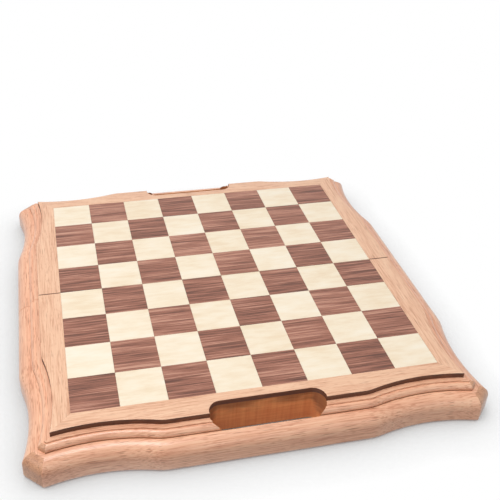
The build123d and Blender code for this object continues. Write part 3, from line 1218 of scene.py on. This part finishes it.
@dataclass(frozen=True)
class Storage:
    """Bays inside a half case.

    Attributes:
        fold_inner: inner face of the fold rail.
        lining, lining_fit: thickness of the felt and the room round it.
        bays, pawn_bay: number of bays for the larger men, and depth of the long bay.
        divider, divider_fit: thickness of the dividers and the room at their ends.
        setback: how far the dividers' lower edges lie behind the rims.
        ease: rounding of the dividers.
        felt_steps: points across the felt.
        nap, swell: mean rise of the felt's lower skin, and the height of its waves.
        waves, bends: lengths of the waves along X and Y, and of the waves across that bend them.
        bend: how far the first wave is bent.
        curl, curl_width: how far the felt's edge turns up, and over what width.
    """

    fold_inner: float = 12.2
    lining: float = 1.0
    lining_fit: float = 0.3
    bays: int = 9
    pawn_bay: float = 48.0
    divider: float = 4.0
    divider_fit: float = 0.2
    setback: float = 1.0
    ease: float = 0.9
    felt_steps: int = 61
    nap: float = 0.12
    swell: float = 0.05
    waves: Pair = (23.0, 17.0)
    bends: Pair = (31.0, 41.0)
    bend: float = 1.3
    curl: float = 0.35
    curl_width: float = 0.8

    @property
    def felt_size(self) -> Pair:
        """Width and length of the felt as cut."""
        return 2 * (RAIL_INNER - self.lining_fit), RAIL_INNER - self.fold_inner - 2 * self.lining_fit

    @property
    def lining_level(self) -> float:
        """Lower face of the felt."""
        return RAIL_TOP - self.lining

    def felt(self, half: Half) -> Shell:
        """Felt sheet under the panel.

        Over a grid in width and length, closest near the edges, the upper skin is flat. The lower skin has
        two crossed sine waves, each bent by one across it, and turns up at the edges by the square of the way
        into the curl.

        Args:
            half: the half case.
        Returns:
            The closed shell.
        """
        width, length = self.felt_size
        across = (1 - np.cos(np.linspace(0, math.pi, self.felt_steps))) / 2
        u, v = np.meshgrid(across, across[::2], indexing="ij")
        x = (u - 0.5) * width
        y = half.value * (self.fold_inner + self.lining_fit + v * length)
        nearest = np.minimum(np.minimum(u, 1 - u) * width, np.minimum(v, 1 - v) * length)
        turned_up = self.curl * (1 - (nearest / self.curl_width).clip(0, 1)) ** 2
        along_x = np.sin(x / self.waves[0] + self.bend * np.sin(y / self.bends[0]))
        along_y = np.sin(y / self.waves[1] + np.cos(x / self.bends[1]))
        swell = self.swell * (along_x + along_y)
        lower = np.stack([x, y, self.lining_level + self.nap + swell + turned_up], axis=-1)
        upper = np.stack([x, y, np.full_like(x, RAIL_TOP)], axis=-1)
        ids = np.arange(x.size).reshape(x.shape)
        rim = np.concatenate([ids[:-1, 0], ids[-1, :-1], ids[:0:-1, -1], ids[0, :0:-1]])
        edge = quads_of(np.stack([rim, rim + x.size]), False, True)
        skins = quads_of(ids, False, False) + quads_of((ids + x.size)[::-1], False, False)
        points = np.concatenate([lower.reshape(-1, 3), upper.reshape(-1, 3)])
        return Shell(points, skins + edge)

    def long_divider(self, half: Half) -> Shell:
        """Divider beside the long bay."""
        near = self.fold_inner + self.pawn_bay
        return self._bars(half, np.array([0.0]), RAIL_INNER - self.divider_fit, (near, near + self.divider))

    def short_dividers(self, half: Half) -> Shell:
        """Dividers between the bays for the larger men.

        Args:
            half: the half case.
        Returns:
            All of them as one shell.
        """
        pitch = (2 * RAIL_INNER + self.divider) / self.bays
        places = (np.arange(1, self.bays) - self.bays / 2) * pitch
        near = self.fold_inner + self.pawn_bay + self.divider
        return self._bars(half, places, self.divider / 2, (near, RAIL_INNER - self.divider_fit))

    def _bars(self, half: Half, places: Array, reach: float, depth: Pair) -> Shell:
        """Eased bars across the half case.

        Args:
            half: the half case.
            places: middles along X.
            reach: half the bars' width along X.
            depth: distances of the two ends from the fold.
        Returns:
            All the bars as one shell.
        """
        ends = sorted(half.value * end for end in depth)
        low = [(place - reach, ends[0], RIM + self.setback) for place in places]
        high = [(place + reach, ends[1], self.lining_level) for place in places]
        return eased_blocks(low, high, self.ease)


@dataclass(frozen=True)
class PlayingField:
    """Inlaid squares.

    Attributes:
        joint: hairline between squares.
        thickness: thickness of the squares.
        arris: rounding of the squares' edges.
    """

    joint: float = 0.1
    thickness: float = 1.0
    arris: float = 0.08

    def squares(self, half: Half, shade: Shade) -> Shell:
        """Squares of one shade in one half, the near left corner being dark.

        Args:
            half: the half case.
            shade: dark or light.
        Returns:
            All the squares as one shell.
        """
        rows, columns = np.meshgrid(np.arange(COUNT), np.arange(COUNT), indexing="ij")
        in_half = (rows < COUNT // 2) == (half is Half.NEAR)
        chosen = in_half & ((rows + columns) % 2 == shade.value)
        corner = np.stack([columns[chosen], rows[chosen]], axis=-1) * SQUARE - FIELD_EDGE
        low, high = corner + self.joint / 2, corner + SQUARE - self.joint / 2
        if half is Half.NEAR:
            high[:, 1] = np.minimum(high[:, 1], -FOLD_EDGE)
        else:
            low[:, 1] = np.maximum(low[:, 1], FOLD_EDGE)
        low = np.column_stack([low, np.full(len(low), TOP - self.thickness)])
        high = np.column_stack([high, np.full(len(high), TOP)])
        return eased_blocks(low, high, self.arris, steps=2)


@dataclass(frozen=True)
class Magnets:
    """Closing magnets, sunk flush into the rims of the handle rails.

    Attributes:
        radius, thickness: size of a magnet.
        spread, middle: places along X and from the fold.
        fit: room round a magnet.
        ease, ease_steps: rounding of the edge, and the points on it.
        segments: steps round a magnet.
        overcut: how far a cut goes past the rim.
    """

    radius: float = 4.0
    thickness: float = 3.0
    spread: float = 200.0
    middle: float = 172.0
    fit: float = 0.05
    ease: float = 0.3
    ease_steps: int = 4
    segments: int = 48
    overcut: float = 1.0

    def centres(self, half: Half) -> Array:
        """Middles of the two magnets at the rim."""
        return np.array([(side * self.spread / 2, half.value * self.middle, RIM) for side in (-1, 1)])

    def seats(self, half: Half) -> Shell:
        """Shape of the two seats.

        Args:
            half: the half case.
        Returns:
            Both as one shell.
        """
        radius = self.radius + self.fit
        profile = np.array([(-self.overcut, radius), (self.thickness + self.fit, radius)])
        return spun(profile, self.centres(half), 2, self.segments)

    def discs(self, half: Half) -> Shell:
        """The two magnets, discs with a quarter circle at the edge that shows.

        Args:
            half: the half case.
        Returns:
            Both as one shell.
        """
        turn = np.linspace(0, math.pi / 2, self.ease_steps)
        along, inwards = self.ease * (1 - np.cos(turn)), self.ease * (1 - np.sin(turn))
        edge = np.stack([along, self.radius - inwards], axis=-1)
        profile = np.vstack([[(0.0, self.radius - 2 * self.ease)], edge, [(self.thickness, self.radius)]])
        return spun(profile, self.centres(half), 2, self.segments)


@dataclass(frozen=True)
class ButtHinge:
    """Small butt hinge, let into the rims of the fold rails.

    Attributes:
        middle: distance of the hinge from the middle of the board.
        length, leaf_width, leaf_thickness: size of a leaf.
        knuckles, knuckle_radius, play, room: knuckles, the play between them and the room round them.
        pin_radius, fit: pin and its fit in the knuckles.
        axis: level of the pin.
        screws, pitch: screws of a leaf and the distance between them.
        head, shank, depth, tip: radii and length of a screw, and the length of its tip.
        sunk: how far a screw's face lies under the leaf's.
        recess_arm, recess_width, recess_depth: cross recess in a screw's head.
        recess_wall, recess_end: width of the slopes at the recess's sides and ends.
        pole, point: radii of the innermost ring of a screw's face, and of its point.
        dome, dome_start, dome_steps: height of the pin's domed ends, the angle of their innermost ring, and
            the number of rings.
        ease: rounding of edges.
        overcut: how far a cut goes past a leaf.
        segments, pin_segments, face_turns, face_rings: steps of the round shapes.
    """

    middle: float = 95.0
    length: float = 30.0
    leaf_width: float = 8.4
    leaf_thickness: float = 1.0
    knuckles: int = 5
    knuckle_radius: float = 1.6
    play: float = 0.2
    room: float = 0.4
    pin_radius: float = 0.8
    fit: float = 0.05
    axis: float = 1.6
    screws: int = 3
    pitch: float = 10.0
    head: float = 2.1
    shank: float = 1.1
    depth: float = 11.0
    tip: float = 2.5
    sunk: float = 0.03
    recess_arm: float = 1.25
    recess_width: float = 0.45
    recess_depth: float = 0.55
    recess_wall: float = 0.12
    recess_end: float = 0.15
    pole: float = 0.04
    point: float = 0.08
    dome: float = 0.4
    dome_start: float = 0.15
    dome_steps: int = 5
    ease: float = 0.12
    overcut: float = 1.0
    segments: int = 40
    pin_segments: int = 32
    face_turns: int = 64
    face_rings: int = 24

    @property
    def leaf_edge(self) -> float:
        """Edge of a leaf beside the knuckles."""
        return self.knuckle_radius + self.room

    def screw_centres(self, half: Half, hand: Hand) -> Array:
        """Middles of the screw heads of a leaf at the rim.

        Args:
            half: the half case that the leaf is on.
            hand: the left or right hinge.
        Returns:
            Middles, screws by 3.
        """
        offsets = (np.arange(self.screws) - (self.screws - 1) / 2) * self.pitch
        x = hand.value * self.middle + offsets
        y = half.value * (self.leaf_edge + self.leaf_width / 2)
        return np.column_stack([x, np.full_like(x, y), np.full_like(x, RIM)])

    def leaf(self, half: Half, hand: Hand) -> Mesh:
        """Leaf with its knuckles and countersunk holes.

        Args:
            half: the half case that the leaf is on.
            hand: the left or right hinge.
        Returns:
            The new mesh.
        """
        middle, pitch = hand.value * self.middle, self.length / self.knuckles
        first = 0 if half is Half.NEAR else 1
        places = middle - (self.length - pitch) / 2 + np.arange(first, self.knuckles, 2) * pitch
        reach = (pitch - self.play) / 2
        edges = (self.leaf_edge, self.leaf_edge + self.leaf_width)
        plate = self._plates(half, np.array([middle]), self.length / 2, edges)
        edges = (self.pin_radius + 2 * self.fit, self.leaf_edge + 2 * self.ease)
        necks = self._plates(half, places, reach, edges)
        leaf = cut(plate.mesh(f"{hand.word}_hinge_{half.word}_leaf"), self._countersinks(half, hand))
        rest = (necks.mesh("necks"), self._barrels(places, reach).mesh("barrels"))
        whole = bmesh.new()
        for mesh in (leaf, *rest):
            whole.from_mesh(mesh)
        whole.to_mesh(leaf)
        whole.free()
        for mesh in rest:
            bpy.data.meshes.remove(mesh)
        return leaf

    def _plates(self, half: Half, places: Array, reach: float, edges: Pair) -> Shell:
        """Eased plates of a leaf's thickness.

        Args:
            half: the half case that they are on.
            places: middles along X.
            reach: half their length along X.
            edges: distances of the two edges from the fold.
        Returns:
            All of them as one shell.
        """
        ends = sorted(half.value * edge for edge in edges)
        low = [(place - reach, ends[0], RIM) for place in places]
        high = [(place + reach, ends[1], RIM + self.leaf_thickness) for place in places]
        return eased_blocks(low, high, self.ease)

    def _barrels(self, places: Array, reach: float) -> Shell:
        """Knuckles of a leaf, tubes with chamfered ends.

        Args:
            places: middles along X.
            reach: half their length along X.
        Returns:
            All of them as one shell.
        """
        outer, bore = self.knuckle_radius, self.pin_radius + self.fit
        wall = np.array([
            (-reach, bore), (-reach, outer - self.ease), (self.ease - reach, outer),
            (reach - self.ease, outer), (reach, outer - self.ease), (reach, bore),
        ])
        centres = np.column_stack([places, 0 * places, 0 * places + self.axis])
        return spun(wall, centres, 0, self.segments, tube=True)

    def _countersinks(self, half: Half, hand: Hand) -> Shell:
        """Countersunk holes through a leaf.

        Args:
            half: the half case that the leaf is on.
            hand: the left or right hinge.
        Returns:
            All of them as one shell.
        """
        head, shank = self.head + self.fit, self.shank + self.fit
        cone = head - shank
        profile = np.array([(-self.overcut, head), (0.0, head), (cone, shank), (cone + self.overcut, shank)])
        return spun(profile, self.screw_centres(half, hand), 2, self.segments)

    def pin(self, hand: Hand) -> Shell:
        """Pin, whose domed ends are half ellipses in section.

        Args:
            hand: the left or right hinge.
        Returns:
            The closed shell.
        """
        turn = np.linspace(self.dome_start, math.pi / 2, self.dome_steps)
        along = self.length / 2 - self.dome * (1 - np.cos(turn))
        dome = np.stack([along, self.pin_radius * np.sin(turn)], axis=-1)
        profile = np.vstack([dome * (-1, 1), dome[::-1]])
        return spun(profile, np.array([(hand.value * self.middle, 0.0, self.axis)]), 0, self.pin_segments)

    def screw_set(self, half: Half) -> Shell:
        """Countersunk screws of a half, with a cross recess in each head.

        On a polar grid, the head's face sinks by the recess depth where the nearer of the cross's two middle
        lines is within half the recess width and the radius is within the arm, with a slope at either limit.
        The grid goes on down the cone, the shank and the tip.

        Args:
            half: the half case.
        Returns:
            All the screws as one shell.
        """
        centres = np.vstack([self.screw_centres(half, hand) for hand in Hand])
        turn = np.linspace(0, 2 * math.pi, self.face_turns, endpoint=False) + math.pi / 8
        face = np.linspace(self.pole, self.head, self.face_rings)
        body = [self.shank, self.shank, self.point]
        depths = [self.head - self.shank, self.depth - self.tip, self.depth]
        radius = np.concatenate([face, body])[:, None]
        x, y = radius * np.cos(turn), radius * np.sin(turn)
        line = np.minimum(abs(x), abs(y))
        beside = (1 - (line - self.recess_width / 2) / self.recess_wall).clip(0, 1)
        beyond = (1 - (radius - self.recess_arm) / self.recess_end).clip(0, 1)
        on_face = np.arange(len(radius))[:, None] < len(face)
        level = np.concatenate([np.full_like(face, self.sunk), depths])[:, None]
        level = level + self.recess_depth * beside * beyond * on_face
        return stacked(np.stack([x, y, level], axis=-1)[None] + centres[:, None, None])


@dataclass
class Finishes:
    """Materials of the board, made once each.

    Attributes:
        slot: the hand slot, whose wall has a finish of its own.
    """

    slot: HandSlot

    def __post_init__(self) -> None:
        """Builds every finish."""
        self._woods()
        self._inlays()
        self.felt = Felt().material()
        self.brass = Metal("hinge_brass", srgb(214, 176, 98), srgb(150, 112, 58), 0.26).material()
        self.nickel = Metal("magnet_nickel", srgb(205, 205, 203), srgb(150, 150, 150), 0.2).material()

    def _woods(self) -> None:
        """Builds the finishes of the rails, the borders, the panels and the joinery."""
        edge = {"pale": srgb(252, 204, 168), "middle": srgb(241, 181, 146), "deep": srgb(200, 130, 97)}
        flat = {"pale": srgb(250, 209, 175), "middle": srgb(241, 191, 156), "deep": srgb(204, 141, 108)}
        ends = {"pale": srgb(226, 174, 134), "middle": srgb(210, 152, 114), "deep": srgb(172, 112, 78)}
        pegs = {"pale": srgb(236, 200, 160), "middle": srgb(214, 170, 124), "deep": srgb(184, 136, 92)}
        edge |= {"dark": srgb(164, 100, 70), "fleck": (9.0, 1.0)}
        flat |= {"dark": srgb(164, 100, 70), "fleck_depth": 0.45}
        ends |= {"dark": srgb(140, 84, 56), "fleck": (3.0, 1.0)}
        pegs |= {"dark": srgb(150, 108, 76)}
        self.handle_rail = Beech("handle_rail_beech", **edge, slot=self.slot).material()
        self.side_rail = Beech("side_rail_beech", **edge, grain=Grain.ALONG_Y).material()
        self.fold_rail = Beech("fold_rail_beech", **edge).material()
        self.end_grain = Beech("end_grain_beech", **ends).material()
        self.handle_border = Beech("handle_border_beech", **flat).material()
        self.side_border = Beech("side_border_beech", **flat, grain=Grain.ALONG_Y).material()
        self.dowel = Beech("dowel_wood", **pegs).material()
        self.spline = Beech("spline_wood", **pegs, grain=Grain.ALONG_Y).material()
        self.edge = StainedEdge("stained_edge", srgb(74, 38, 22), srgb(122, 70, 44)).material()
        # the quirk's finish is painted shade: it darkens the step under the quarter round as its shadow line
        self.quirk = StainedEdge("milled_quirk", srgb(132, 80, 52), srgb(174, 116, 82)).material()
        self.panel = Plywood("panel_ply", srgb(240, 198, 162), srgb(204, 148, 112)).material()

    def _inlays(self) -> None:
        """Builds the finishes of the dark and the light squares."""
        walnut = [
            (0.39, srgb(96, 56, 42)),
            (0.46, srgb(140, 88, 69)),
            (0.53, srgb(170, 113, 92)),
            (0.6, srgb(202, 150, 128)),
        ]
        maple = [(0.36, srgb(245, 224, 193)), (0.5, srgb(252, 236, 210)), (0.64, srgb(255, 243, 222))]
        dark = Inlay("dark_inlay", walnut, streak=(55.0, 1.2), spread=0.06, pores=0.3)
        light = Inlay("light_inlay", maple, streak=(30.0, 8.0), spread=0.08, pores=0.03)
        self.inlay = {Shade.DARK: dark.material(), Shade.LIGHT: light.material()}


def add_piece(
    name: str,
    mesh: Mesh,
    body: str,
    finishes: list[Material],
    stands_for: list[str],
) -> Object:
    """Puts a piece into the scene on its body.

    Args:
        name: name of the piece.
        mesh: its mesh, in place.
        body: body of the frame that carries it.
        finishes: its materials.
        stands_for: nodes of the frame that it replaces.
    Returns:
        The new object.
    """
    mesh.name = name
    mesh.polygons.foreach_set("use_smooth", np.ones(len(mesh.polygons), bool))
    mesh.set_sharp_from_angle(angle=CREASE)
    mesh.materials.clear()
    for finish in finishes:
        mesh.materials.append(finish)
    piece = put(name, mesh)
    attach(piece, body)
    if stands_for:
        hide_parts(*stands_for)
    LOG.info("%s: %d faces on %s", name, len(mesh.polygons), body)
    return piece


def face_arrays(mesh: Mesh) -> tuple[Array, Array]:
    """Normals and middles of a mesh's faces.

    Args:
        mesh: the mesh.
    Returns:
        Normals, and middles in millimetres, faces by 3 each.
    """
    both = []
    for key in ("normal", "center"):
        flat = np.empty(len(mesh.polygons) * 3)
        mesh.polygons.foreach_get(key, flat)
        both.append(flat.reshape(-1, 3))
    return both[0], both[1] / MM


@dataclass
class CaseHalf:
    """One half case with all that it carries.

    Attributes:
        half: near or far.
        finishes: materials of the board.
        nodes: the frame's nodes.
        slot, hinge, edge, moulding, border, storage, field, magnets: its sub-assemblies.
    """

    half: Half
    finishes: Finishes
    nodes: dict[str, Object]
    slot: HandSlot
    hinge: ButtHinge
    edge: SerpentineEdge = SerpentineEdge()
    moulding: Moulding = Moulding()
    border: BorderStrip = BorderStrip()
    storage: Storage = Storage()
    field: PlayingField = PlayingField()
    magnets: Magnets = Magnets()

    def build(self) -> None:
        """Makes and dresses every piece of the half."""
        self.rails()
        self.borders()
        self.squares()
        self.inside()
        self.hardware()
        self.hidden_wood()

    def piece(self, name: str, mesh: Mesh, finishes: list[Material], slot: str, node: str = "") -> Object:
        """Adds a piece of this half, which replaces its node of the frame where one is named."""
        stands_for = [f"{self.half.word}_{node}"] if node else []
        return add_piece(f"{self.half.word}_{name}", mesh, self.half.body, finishes, stands_for)

    def rails(self) -> None:
        """Moulded rails, with the hand slot and the magnets' seats cut into the handle rail."""
        section = self.moulding.section()
        shell = self.edge.handle_strip(section, RAIL_INNER, self.half, Corner.FLAT)
        mesh = cut(shell.mesh("handle_rail"), self.slot.cutter(self.half))
        mesh = cut(mesh, self.magnets.seats(self.half))
        wood = [self.finishes.handle_rail, self.finishes.quirk, self.finishes.end_grain]
        self.burnish(self.piece("handle_rail_moulding", mesh, wood, "beech", "handle_rail"))
        wood = [self.finishes.side_rail, self.finishes.quirk, self.finishes.end_grain]
        for hand in Hand:
            shell = self.edge.side_strip(section, RAIL_INNER, self.half, hand, Corner.FLAT)
            node = f"{hand.word}_rail"
            self.burnish(self.piece(f"{node}_moulding", shell.mesh(node), wood, "beech", node))

    def burnish(self, rail: Object) -> None:
        """Gives a rail painted shade on its quirk, and its end grain.

        Painted shade darkens the step under the quarter round, as the quirk's shadow line. The end grain is
        on the corner flats, which are cut across the grain: their faces look outwards along a diagonal of
        the board.

        Args:
            rail: the dressed rail, whose second and third materials are the two finishes.
        """
        normals, middles = face_arrays(rail.data)
        low, high = self.moulding.quirk
        upright = abs(normals[:, 2]) < UPRIGHT
        # the step under the quarter round, which gets the painted shade
        on_step = (middles[:, 2] > low) & (middles[:, 2] < high) & upright
        diagonal = abs(abs(normals[:, 0]) - abs(normals[:, 1])) < DIAGONAL
        outwards = np.sum(normals[:, :2] * np.sign(middles[:, :2]), axis=1) > OUTWARDS
        near_corner = np.sum(abs(middles[:, :2]), axis=1) > math.sqrt(2) * self.edge.corner_flat
        finish = np.where(diagonal & outwards & near_corner, 2, on_step)
        rail.data.polygons.foreach_set("material_index", finish.astype(np.int32))

    def borders(self) -> None:
        """Border strips with their stained edges."""
        section = self.border.section()
        shell = self.edge.handle_strip(section, FIELD_EDGE, self.half, Corner.SHARP)
        mesh = cut(shell.mesh("handle_border"), self.slot.cutter(self.half))
        wood = [self.finishes.handle_border, self.finishes.edge]
        self.stain(self.piece("handle_border_strip", mesh, wood, "border_beech", "handle_border"))
        wood = [self.finishes.side_border, self.finishes.edge]
        for hand in Hand:
            shell = self.edge.side_strip(section, FIELD_EDGE, self.half, hand, Corner.SHARP)
            node = f"{hand.word}_border"
            self.stain(self.piece(f"{node}_strip", shell.mesh(node), wood, "border_beech", node))

    @staticmethod
    def stain(strip: Object) -> None:
        """Gives the stained finish, a strip's second material, to its faces that look sideways.

        Args:
            strip: the dressed strip.
        """
        normals, _ = face_arrays(strip.data)
        sideways = abs(normals[:, 2]) < SIDEWAYS
        strip.data.polygons.foreach_set("material_index", sideways.astype(np.int32))

    def squares(self) -> None:
        """Dark and light squares."""
        for shade in Shade:
            node = f"{shade.word}_squares"
            mesh = self.field.squares(self.half, shade).mesh(node)
            self.piece(f"{node}_inlay", mesh, [self.finishes.inlay[shade]], f"{shade.word}_wood", node)

    def inside(self) -> None:
        """Felt lining and dividers."""
        mesh = self.storage.felt(self.half).mesh("felt")
        felt = self.piece("lining_felt", mesh, [self.finishes.felt], "felt", "lining")
        width, length = self.storage.felt_size
        width * MM
        length * MM
        bars = {"long_divider": self.storage.long_divider, "short_dividers": self.storage.short_dividers}
        grains = {"long_divider": self.finishes.fold_rail, "short_dividers": self.finishes.side_rail}
        for node, bar in bars.items():
            self.piece(f"{node}_slats", bar(self.half).mesh(node), [grains[node]], "beech", node)

    def hardware(self) -> None:
        """Magnets, hinge leaves and screws."""
        mesh = self.magnets.discs(self.half).mesh("magnets")
        self.piece("magnets_discs", mesh, [self.finishes.nickel], "magnet", "magnets")
        brass = [self.finishes.brass]
        for hand in Hand:
            node = f"{hand.word}_hinge_{self.half.word}_leaf"
            leaf = self.hinge.leaf(self.half, hand)
            add_piece(f"{node}_plate", leaf, self.half.body, brass, [node])
        self.piece("hinge_screws", self.hinge.screw_set(self.half).mesh("screws"), brass, "brass")

    def hidden_wood(self) -> None:
        """Finishes of the pieces that keep the frame's own shape."""
        woods = {
            "fold_rail": self.finishes.fold_rail,
            "panel": self.finishes.panel,
            "dowels": self.finishes.dowel,
            "corner_splines": self.finishes.spline,
        }
        for node, wood in woods.items():
            data = self.nodes[f"{self.half.word}_{node}"].data
            data.materials.clear()
            data.materials.append(wood)


@dataclass(frozen=True)
class PhotoCamera:
    """Camera at the photograph's viewing angle.

    Attributes:
        azimuth, elevation, roll: degrees.
        focal: focal length in pixels of the photograph's frame.
        middle: pixel that the lens looks at, because the photograph is cut from a larger frame.
        place: where it stands, mm.
        clip: nearest and farthest distance in sight, m.
    """

    azimuth: float = 13.31
    elevation: float = 33.09
    roll: float = -1.81
    focal: float = 769.7
    middle: Pair = (215.0, 230.0)
    place: Triple = (-151.8, -609.2, 500.3)
    clip: Pair = (0.01, 50.0)

    def add(self) -> None:
        """Makes the scene's camera.

        It looks along the azimuth and down by the elevation, and is then turned about that line by the roll.
        """
        azimuth, elevation, roll = (math.radians(a) for a in (self.azimuth, self.elevation, self.roll))
        flat = math.cos(elevation)
        ahead = Vector((math.sin(azimuth) * flat, math.cos(azimuth) * flat, -math.sin(elevation)))
        level = ahead.cross(Vector((0, 0, 1))).normalized()
        up = level.cross(ahead)
        right = level * math.cos(roll) - up * math.sin(roll)
        data = bpy.data.cameras.new("photo_camera")
        data.sensor_fit, data.sensor_width = "HORIZONTAL", SENSOR
        data.lens = self.focal / IMAGE_SIDE * SENSOR
        data.shift_x = 0.5 - self.middle[0] / IMAGE_SIDE
        data.shift_y = self.middle[1] / IMAGE_SIDE - 0.5
        data.clip_start, data.clip_end = self.clip
        camera = put("photo_camera", data)
        turned = Matrix((right, right.cross(ahead), -ahead)).transposed()
        camera.matrix_world = Matrix.Translation(Vector(self.place) * MM) @ turned.to_4x4()
        bpy.context.scene.camera = camera


@dataclass(frozen=True)
class Softbox:
    """Square lamp that looks at the middle of the board.

    Attributes:
        name: name of the lamp.
        place: where it stands, mm.
        side: its side, mm.
        power: watts.
    """

    name: str
    place: Triple
    side: float
    power: float

    def add(self) -> None:
        """Makes the lamp."""
        data = bpy.data.lights.new(self.name, "AREA")
        data.shape, data.size, data.energy = "SQUARE", self.side * MM, self.power
        place = Vector(self.place) * MM
        turned = place.to_track_quat("Z", "Y").to_matrix()
        put(self.name, data).matrix_world = Matrix.Translation(place) @ turned.to_4x4()


@dataclass(frozen=True)
class Studio:
    """White floor and surroundings with soft light.

    Attributes:
        ambient: level of the light from all round.
        floor_reach: half the floor's side, mm.
        floor_colour: colour of the floor in bounced light and in the shadow.
        shadow_reach: how far the board's shadow spreads over the floor, mm.
        shadow_power: how dark the shadow is.
        clearing: share of the way below that a piece has to close before the shadow is gone.
        samples: rays that feel for pieces near the floor.
        lamps: the softboxes.
    """

    ambient: float = 0.31
    floor_reach: float = 6000.0
    floor_colour: Colour = (0.35, 0.35, 0.35, 1.0)
    shadow_reach: float = 42.0
    shadow_power: float = 1.3
    clearing: float = 0.05
    samples: int = 8
    lamps: tuple[Softbox, ...] = (
        Softbox("overhead", (-350.0, -100.0, 1500.0), 750.0, 14.5),
        Softbox("left", (-1500.0, -200.0, 800.0), 900.0, 4.2),
        Softbox("front", (500.0, -1600.0, 900.0), 900.0, 2.6),
        Softbox("underneath", (-200.0, -300.0, -1500.0), 1000.0, 9.0),
    )

    def add(self) -> None:
        """Makes the floor, the surroundings and the lamps."""
        for lamp in self.lamps:
            lamp.add()
        self.floor()
        self.surroundings()

    def floor(self) -> None:
        """White floor that keeps the board's soft shadow.

        Light that bounces meets a grey floor. Where nothing is close above it, the eye sees through the floor
        to the white surroundings, and so do reflections. Lamplight passes it, and the shadow fades where a
        piece is close below it, so that the half which folds down under the other stays in sight.
        """
        square = np.array([(-1, -1, 0), (1, -1, 0), (1, 1, 0), (-1, 1, 0)]) * self.floor_reach
        mesh = bpy.data.meshes.new("floor")
        mesh.from_pydata((square * MM).tolist(), [], [[0, 1, 2, 3]])
        tree = ShaderTree.of_surface("white_floor")
        tree.set(Base_Color=self.floor_colour, Roughness=0.9, Specular_IOR_Level=0.1)
        clear = tree.node("ShaderNodeBsdfTransparent")
        above, below = (self._open(tree, inside) for inside in (False, True))
        unshaded = (above**self.shadow_power).at_least((1.0 - below).step(0.0, self.clearing))
        share = (tree.rays(*SEEN_RAYS) * unshaded).at_least(tree.rays("Is Shadow Ray"))
        inputs = {0: share, 1: tree.out(tree.shader), 2: tree.out(clear)}
        tree.feed(tree.output, "Surface", tree.out(tree.node("ShaderNodeMixShader", None, inputs)))
        mesh.materials.append(tree.owner)
        floor = put("floor", mesh)

    def _open(self, tree: ShaderTree, inside: bool) -> Socket:
        """How open the way from the floor is, within the shadow's reach.

        Args:
            tree: the floor's tree.
            inside: whether the way leads down from the floor, and not up.
        Returns:
            Share of the way that is open.
        """
        settings = {"samples": self.samples, "inside": inside}
        node = tree.node("ShaderNodeAmbientOcclusion", settings, {"Distance": self.shadow_reach * MM})
        return tree.out(node, "AO")

    def surroundings(self) -> None:
        """White surroundings that light the board at the ambient level."""
        tree = ShaderTree.of_world("studio")
        tree.set(Color=WHITE, Strength=self.ambient + tree.rays(*SEEN_RAYS) * (1.0 - self.ambient))
        bpy.context.scene.world = tree.owner


def main() -> None:
    """Loads the frame, builds both halves, the hinges' pins and the studio."""
    logging.basicConfig(level=logging.INFO, format="%(message)s")
    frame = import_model()
    bpy.context.scene.view_settings.view_transform = "Standard"
    slot, hinge = HandSlot(), ButtHinge()
    finishes = Finishes(slot)
    for half in Half:
        CaseHalf(half, finishes, frame["nodes"], slot, hinge).build()
    for hand in Hand:
        node = f"{hand.word}_hinge_pin"
        pin = hinge.pin(hand).mesh(node)
        add_piece(f"{node}_rod", pin, Half.NEAR.body, [finishes.brass], [node])
    Studio().add()
    PhotoCamera().add()


if __name__ == "__main__":
    main()
